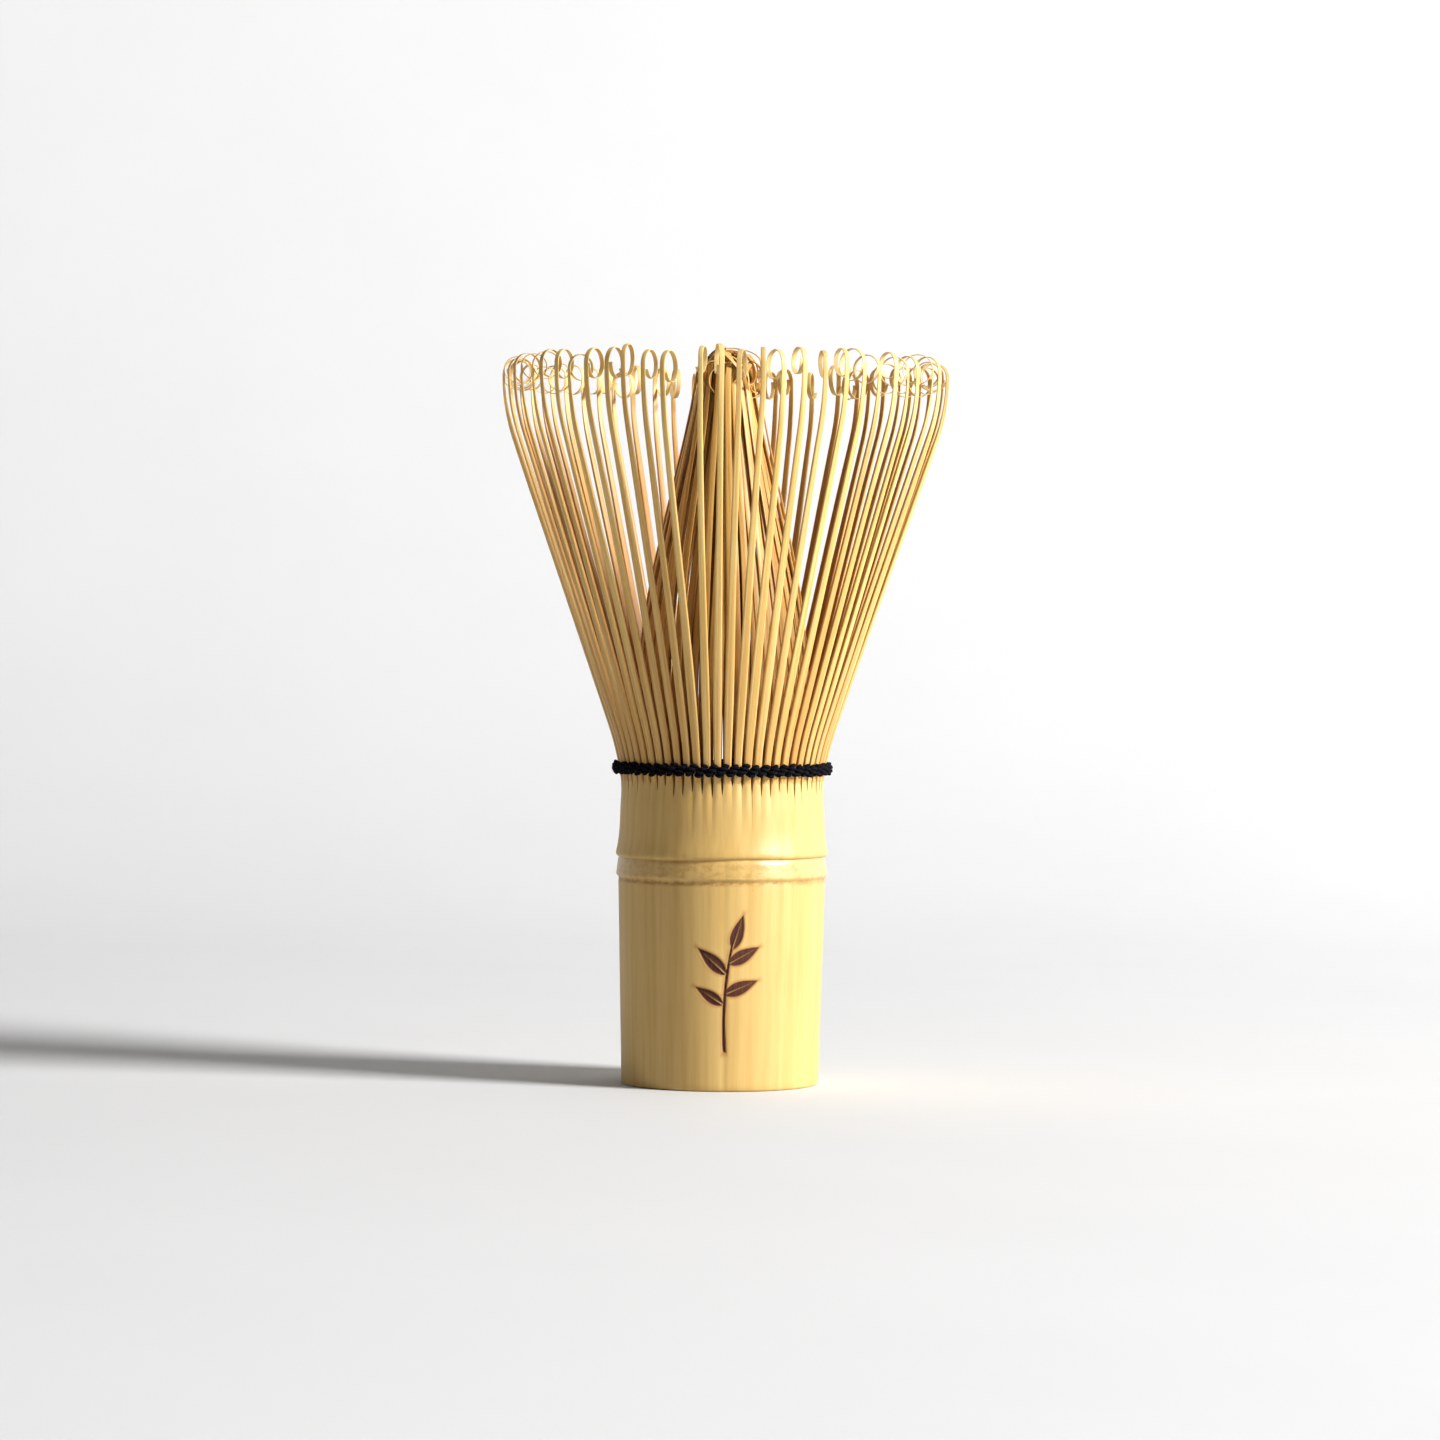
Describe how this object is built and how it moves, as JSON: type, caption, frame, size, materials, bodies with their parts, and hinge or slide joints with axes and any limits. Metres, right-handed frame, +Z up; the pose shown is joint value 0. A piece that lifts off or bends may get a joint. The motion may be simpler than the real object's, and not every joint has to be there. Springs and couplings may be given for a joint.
{
  "type": "bamboo tea whisk",
  "caption": "Bamboo tea whisk: hollow culm handle with a node, flared outer tines with curled tips round a cone of inner tines, bound with a dark twined thread.",
  "frame": {"origin": "centre of the handle's foot, on the surface it stands on", "axes": "+Z up along the culm, -Y the front, +X to the right"},
  "size_m": [0.0628, 0.0624, 0.1021],
  "materials": {
    "culm_skin": "smooth natural bamboo skin, satin",
    "outer_tine": "shaved bamboo, satin",
    "inner_tine": "shaved bamboo, satin",
    "thread": "twisted cotton, matt"
  },
  "bodies": {
    "handle": {"handle_culm": "culm_skin", "thread_strand_first": "thread", "thread_strand_second": "thread", "thread_tail": "thread"},
    "outer_01": {"outer_split_01": "outer_tine"},
    "outer_02": {"outer_split_02": "outer_tine"},
    "outer_03": {"outer_split_03": "outer_tine"},
    "outer_04": {"outer_split_04": "outer_tine"},
    "outer_05": {"outer_split_05": "outer_tine"},
    "outer_06": {"outer_split_06": "outer_tine"},
    "outer_07": {"outer_split_07": "outer_tine"},
    "outer_08": {"outer_split_08": "outer_tine"},
    "outer_09": {"outer_split_09": "outer_tine"},
    "outer_10": {"outer_split_10": "outer_tine"},
    "outer_11": {"outer_split_11": "outer_tine"},
    "outer_12": {"outer_split_12": "outer_tine"},
    "outer_13": {"outer_split_13": "outer_tine"},
    "outer_14": {"outer_split_14": "outer_tine"},
    "outer_15": {"outer_split_15": "outer_tine"},
    "outer_16": {"outer_split_16": "outer_tine"},
    "inner_01": {"inner_split_01": "inner_tine"},
    "inner_02": {"inner_split_02": "inner_tine"},
    "inner_03": {"inner_split_03": "inner_tine"},
    "inner_04": {"inner_split_04": "inner_tine"},
    "inner_05": {"inner_split_05": "inner_tine"},
    "inner_06": {"inner_split_06": "inner_tine"},
    "inner_07": {"inner_split_07": "inner_tine"},
    "inner_08": {"inner_split_08": "inner_tine"},
    "inner_09": {"inner_split_09": "inner_tine"},
    "inner_10": {"inner_split_10": "inner_tine"},
    "inner_11": {"inner_split_11": "inner_tine"},
    "inner_12": {"inner_split_12": "inner_tine"},
    "inner_13": {"inner_split_13": "inner_tine"},
    "inner_14": {"inner_split_14": "inner_tine"},
    "inner_15": {"inner_split_15": "inner_tine"},
    "inner_16": {"inner_split_16": "inner_tine"}
  },
  "joints": [
    {"name": "outer_flex_01", "type": "hinge", "parent": "handle", "child": "outer_01", "pos_m": [0.00278, -0.014, 0.0442], "axis": [0.9808, 0.1951, 0], "range_deg": [-3, 6], "stiffness_Nm_per_rad": 0.02},
    {"name": "outer_flex_02", "type": "hinge", "parent": "handle", "child": "outer_02", "pos_m": [0.00793, -0.01187, 0.0442], "axis": [0.8315, 0.5556, 0], "range_deg": [-3, 6], "stiffness_Nm_per_rad": 0.02},
    {"name": "outer_flex_03", "type": "hinge", "parent": "handle", "child": "outer_03", "pos_m": [0.01187, -0.00793, 0.0442], "axis": [0.5556, 0.8315, 0], "range_deg": [-3, 6], "stiffness_Nm_per_rad": 0.02},
    {"name": "outer_flex_04", "type": "hinge", "parent": "handle", "child": "outer_04", "pos_m": [0.014, -0.00278, 0.0442], "axis": [0.1951, 0.9808, 0], "range_deg": [-3, 6], "stiffness_Nm_per_rad": 0.02},
    {"name": "outer_flex_05", "type": "hinge", "parent": "handle", "child": "outer_05", "pos_m": [0.014, 0.00278, 0.0442], "axis": [-0.1951, 0.9808, 0], "range_deg": [-3, 6], "stiffness_Nm_per_rad": 0.02},
    {"name": "outer_flex_06", "type": "hinge", "parent": "handle", "child": "outer_06", "pos_m": [0.01187, 0.00793, 0.0442], "axis": [-0.5556, 0.8315, 0], "range_deg": [-3, 6], "stiffness_Nm_per_rad": 0.02},
    {"name": "outer_flex_07", "type": "hinge", "parent": "handle", "child": "outer_07", "pos_m": [0.00793, 0.01187, 0.0442], "axis": [-0.8315, 0.5556, 0], "range_deg": [-3, 6], "stiffness_Nm_per_rad": 0.02},
    {"name": "outer_flex_08", "type": "hinge", "parent": "handle", "child": "outer_08", "pos_m": [0.00278, 0.014, 0.0442], "axis": [-0.9808, 0.1951, 0], "range_deg": [-3, 6], "stiffness_Nm_per_rad": 0.02},
    {"name": "outer_flex_09", "type": "hinge", "parent": "handle", "child": "outer_09", "pos_m": [-0.00278, 0.014, 0.0442], "axis": [-0.9808, -0.1951, 0], "range_deg": [-3, 6], "stiffness_Nm_per_rad": 0.02},
    {"name": "outer_flex_10", "type": "hinge", "parent": "handle", "child": "outer_10", "pos_m": [-0.00793, 0.01187, 0.0442], "axis": [-0.8315, -0.5556, 0], "range_deg": [-3, 6], "stiffness_Nm_per_rad": 0.02},
    {"name": "outer_flex_11", "type": "hinge", "parent": "handle", "child": "outer_11", "pos_m": [-0.01187, 0.00793, 0.0442], "axis": [-0.5556, -0.8315, 0], "range_deg": [-3, 6], "stiffness_Nm_per_rad": 0.02},
    {"name": "outer_flex_12", "type": "hinge", "parent": "handle", "child": "outer_12", "pos_m": [-0.014, 0.00278, 0.0442], "axis": [-0.1951, -0.9808, 0], "range_deg": [-3, 6], "stiffness_Nm_per_rad": 0.02},
    {"name": "outer_flex_13", "type": "hinge", "parent": "handle", "child": "outer_13", "pos_m": [-0.014, -0.00278, 0.0442], "axis": [0.1951, -0.9808, 0], "range_deg": [-3, 6], "stiffness_Nm_per_rad": 0.02},
    {"name": "outer_flex_14", "type": "hinge", "parent": "handle", "child": "outer_14", "pos_m": [-0.01187, -0.00793, 0.0442], "axis": [0.5556, -0.8315, 0], "range_deg": [-3, 6], "stiffness_Nm_per_rad": 0.02},
    {"name": "outer_flex_15", "type": "hinge", "parent": "handle", "child": "outer_15", "pos_m": [-0.00793, -0.01187, 0.0442], "axis": [0.8315, -0.5556, 0], "range_deg": [-3, 6], "stiffness_Nm_per_rad": 0.02},
    {"name": "outer_flex_16", "type": "hinge", "parent": "handle", "child": "outer_16", "pos_m": [-0.00278, -0.014, 0.0442], "axis": [0.9808, -0.1951, 0], "range_deg": [-3, 6], "stiffness_Nm_per_rad": 0.02},
    {"name": "inner_flex_01", "type": "hinge", "parent": "handle", "child": "inner_01", "pos_m": [0.00232, -0.01164, 0.0442], "axis": [0.9808, 0.1951, 0], "range_deg": [0, 10], "stiffness_Nm_per_rad": 0.02},
    {"name": "inner_flex_02", "type": "hinge", "parent": "handle", "child": "inner_02", "pos_m": [0.0066, -0.00987, 0.0442], "axis": [0.8315, 0.5556, 0], "range_deg": [0, 10], "stiffness_Nm_per_rad": 0.02},
    {"name": "inner_flex_03", "type": "hinge", "parent": "handle", "child": "inner_03", "pos_m": [0.00987, -0.0066, 0.0442], "axis": [0.5556, 0.8315, 0], "range_deg": [0, 10], "stiffness_Nm_per_rad": 0.02},
    {"name": "inner_flex_04", "type": "hinge", "parent": "handle", "child": "inner_04", "pos_m": [0.01164, -0.00232, 0.0442], "axis": [0.1951, 0.9808, 0], "range_deg": [0, 10], "stiffness_Nm_per_rad": 0.02},
    {"name": "inner_flex_05", "type": "hinge", "parent": "handle", "child": "inner_05", "pos_m": [0.01164, 0.00232, 0.0442], "axis": [-0.1951, 0.9808, 0], "range_deg": [0, 10], "stiffness_Nm_per_rad": 0.02},
    {"name": "inner_flex_06", "type": "hinge", "parent": "handle", "child": "inner_06", "pos_m": [0.00987, 0.0066, 0.0442], "axis": [-0.5556, 0.8315, 0], "range_deg": [0, 10], "stiffness_Nm_per_rad": 0.02},
    {"name": "inner_flex_07", "type": "hinge", "parent": "handle", "child": "inner_07", "pos_m": [0.0066, 0.00987, 0.0442], "axis": [-0.8315, 0.5556, 0], "range_deg": [0, 10], "stiffness_Nm_per_rad": 0.02},
    {"name": "inner_flex_08", "type": "hinge", "parent": "handle", "child": "inner_08", "pos_m": [0.00232, 0.01164, 0.0442], "axis": [-0.9808, 0.1951, 0], "range_deg": [0, 10], "stiffness_Nm_per_rad": 0.02},
    {"name": "inner_flex_09", "type": "hinge", "parent": "handle", "child": "inner_09", "pos_m": [-0.00232, 0.01164, 0.0442], "axis": [-0.9808, -0.1951, 0], "range_deg": [0, 10], "stiffness_Nm_per_rad": 0.02},
    {"name": "inner_flex_10", "type": "hinge", "parent": "handle", "child": "inner_10", "pos_m": [-0.0066, 0.00987, 0.0442], "axis": [-0.8315, -0.5556, 0], "range_deg": [0, 10], "stiffness_Nm_per_rad": 0.02},
    {"name": "inner_flex_11", "type": "hinge", "parent": "handle", "child": "inner_11", "pos_m": [-0.00987, 0.0066, 0.0442], "axis": [-0.5556, -0.8315, 0], "range_deg": [0, 10], "stiffness_Nm_per_rad": 0.02},
    {"name": "inner_flex_12", "type": "hinge", "parent": "handle", "child": "inner_12", "pos_m": [-0.01164, 0.00232, 0.0442], "axis": [-0.1951, -0.9808, 0], "range_deg": [0, 10], "stiffness_Nm_per_rad": 0.02},
    {"name": "inner_flex_13", "type": "hinge", "parent": "handle", "child": "inner_13", "pos_m": [-0.01164, -0.00232, 0.0442], "axis": [0.1951, -0.9808, 0], "range_deg": [0, 10], "stiffness_Nm_per_rad": 0.02},
    {"name": "inner_flex_14", "type": "hinge", "parent": "handle", "child": "inner_14", "pos_m": [-0.00987, -0.0066, 0.0442], "axis": [0.5556, -0.8315, 0], "range_deg": [0, 10], "stiffness_Nm_per_rad": 0.02},
    {"name": "inner_flex_15", "type": "hinge", "parent": "handle", "child": "inner_15", "pos_m": [-0.0066, -0.00987, 0.0442], "axis": [0.8315, -0.5556, 0], "range_deg": [0, 10], "stiffness_Nm_per_rad": 0.02},
    {"name": "inner_flex_16", "type": "hinge", "parent": "handle", "child": "inner_16", "pos_m": [-0.00232, -0.01164, 0.0442], "axis": [0.9808, -0.1951, 0], "range_deg": [0, 10], "stiffness_Nm_per_rad": 0.02}
  ]
}
